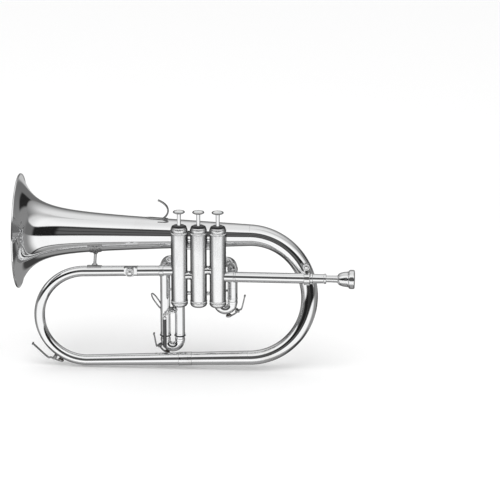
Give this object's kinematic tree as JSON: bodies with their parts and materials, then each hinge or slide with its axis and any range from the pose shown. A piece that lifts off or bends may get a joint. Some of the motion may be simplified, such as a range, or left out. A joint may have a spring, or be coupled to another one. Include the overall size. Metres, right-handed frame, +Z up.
{
  "type": "flugelhorn",
  "caption": "Silver-plated flugelhorn with piston valves, conical bell and back bow, pull-out slides, a third-slide trigger, water keys and a removable mouthpiece.",
  "frame": {"origin": "below the middle of the horn's bounding box, level with its lowest tube", "axes": "+X to the mouthpiece, +Y to the player's right across the horn, +Z up"},
  "size_m": [0.446, 0.152, 0.2511],
  "materials": {
    "silver_plate": "polished silver plate on brass",
    "satin_silver": "softer silver plate, slightly brushed",
    "felt": "black felt",
    "rubber": "black rubber",
    "cork": "fine cork",
    "spring_wire": "bare spring wire"
  },
  "bodies": {
    "horn": {"bell": "silver_plate", "bell_rim_wire": "silver_plate", "back_bow": "silver_plate", "lower_tube": "silver_plate", "front_bow": "silver_plate", "exit_tube": "silver_plate", "ferrules": "silver_plate", "casing_1": "satin_silver", "casing_2": "satin_silver", "casing_3": "satin_silver", "top_caps": "silver_plate", "bottom_caps": "silver_plate", "cap_felts": "felt", "valve_knuckles": "silver_plate", "casing_braces": "silver_plate", "valve_spring_1": "spring_wire", "valve_spring_2": "spring_wire", "valve_spring_3": "spring_wire", "slide_1_sleeves": "silver_plate", "slide_2_sleeves": "silver_plate", "slide_3_sleeves": "silver_plate", "trigger_bracket": "silver_plate", "main_key_saddle": "silver_plate", "main_key_pin": "silver_plate", "leadpipe_sleeve": "silver_plate", "tuning_clamp": "silver_plate", "bell_brace": "silver_plate", "bow_brace": "silver_plate", "finger_hook": "silver_plate", "lyre_box": "silver_plate"},
    "valve_1": {"piston_1": "satin_silver", "stem_1": "silver_plate", "button_1": "satin_silver"},
    "valve_2": {"piston_2": "satin_silver", "stem_2": "silver_plate", "button_2": "satin_silver"},
    "valve_3": {"piston_3": "satin_silver", "stem_3": "silver_plate", "button_3": "satin_silver"},
    "first_slide": {"slide_1": "silver_plate", "key_1_saddle": "silver_plate", "key_1_pin": "silver_plate"},
    "second_slide": {"slide_2": "silver_plate"},
    "third_slide": {"slide_3": "silver_plate", "slide_3_bumpers": "rubber", "push_rod": "silver_plate", "key_3_saddle": "silver_plate", "key_3_pin": "silver_plate"},
    "trigger": {"trigger_lever": "silver_plate"},
    "main_water_key": {"main_key_lever": "silver_plate", "main_key_cork": "cork"},
    "first_water_key": {"key_1_lever": "silver_plate", "key_1_cork": "cork"},
    "third_water_key": {"key_3_lever": "silver_plate", "key_3_cork": "cork"},
    "tuning_shank": {"tuning_pipe": "silver_plate", "receiver": "silver_plate"},
    "mouthpiece": {"mouthpiece": "silver_plate"},
    "clamp_screw": {"clamp_screw": "silver_plate"},
    "lyre_screw": {"lyre_screw": "silver_plate"}
  },
  "joints": [
    {"name": "valve_1_press", "type": "slide", "parent": "horn", "child": "valve_1", "axis": [0, 0, -1], "range_m": [0, 0.016], "stiffness_N_per_m": 120, "springref_m": -0.015, "deforming": ["valve_spring_1"]},
    {"name": "valve_2_press", "type": "slide", "parent": "horn", "child": "valve_2", "axis": [0, 0, -1], "range_m": [0, 0.016], "stiffness_N_per_m": 120, "springref_m": -0.015, "deforming": ["valve_spring_2"]},
    {"name": "valve_3_press", "type": "slide", "parent": "horn", "child": "valve_3", "axis": [0, 0, -1], "range_m": [0, 0.016], "stiffness_N_per_m": 120, "springref_m": -0.015, "deforming": ["valve_spring_3"]},
    {"name": "slide_1_pull", "type": "slide", "parent": "horn", "child": "first_slide", "axis": [0, 0, -1], "range_m": [0, 0.012]},
    {"name": "slide_2_pull", "type": "slide", "parent": "horn", "child": "second_slide", "axis": [0, 1, 0], "range_m": [0, 0.012]},
    {"name": "slide_3_throw", "type": "slide", "parent": "horn", "child": "third_slide", "axis": [0, 0, -1], "range_m": [0, 0.0055], "stiffness_N_per_m": 80, "springref_m": -0.01},
    {"name": "trigger_swing", "type": "hinge", "parent": "horn", "child": "trigger", "pos_m": [-0.0184, -0.0135, 0.075], "axis": [0, -1, 0], "range_deg": [0, 38]},
    {"name": "main_key_press", "type": "hinge", "parent": "horn", "child": "main_water_key", "pos_m": [-0.17548, -0.0315, 0.01017], "axis": [0, 1, 0], "range_deg": [0, 15], "stiffness_Nm_per_rad": 0.05, "springref_deg": -28.65},
    {"name": "key_1_press", "type": "hinge", "parent": "first_slide", "child": "first_water_key", "pos_m": [0.0687, -0.0135, 0.07554], "axis": [0, -1, 0], "range_deg": [0, 15], "stiffness_Nm_per_rad": 0.05, "springref_deg": -28.65},
    {"name": "key_3_press", "type": "hinge", "parent": "third_slide", "child": "third_water_key", "pos_m": [-0.03713, -0.0135, 0.02496], "axis": [0, 1, 0], "range_deg": [0, 15], "stiffness_Nm_per_rad": 0.05, "springref_deg": -28.65},
    {"name": "tuning_pull", "type": "slide", "parent": "horn", "child": "tuning_shank", "axis": [1, 0, 0], "range_m": [0, 0.015]},
    {"name": "mouthpiece_pull", "type": "slide", "parent": "tuning_shank", "child": "mouthpiece", "axis": [1, 0, 0], "range_m": [0, 0.022]},
    {"name": "clamp_screw_turn", "type": "hinge", "parent": "horn", "child": "clamp_screw", "pos_m": [0.1596, -0.0356, 0.1464], "axis": [0, 1, 0], "range_deg": [-180, 180]},
    {"name": "lyre_screw_turn", "type": "hinge", "parent": "horn", "child": "lyre_screw", "pos_m": [-0.071, -0.0481, 0.1374], "axis": [0, 1, 0], "range_deg": [-180, 180]}
  ],
  "couplings": [
    {"joint": "trigger_swing", "follows": "slide_3_throw", "rad_per_m": 120.27}
  ]
}
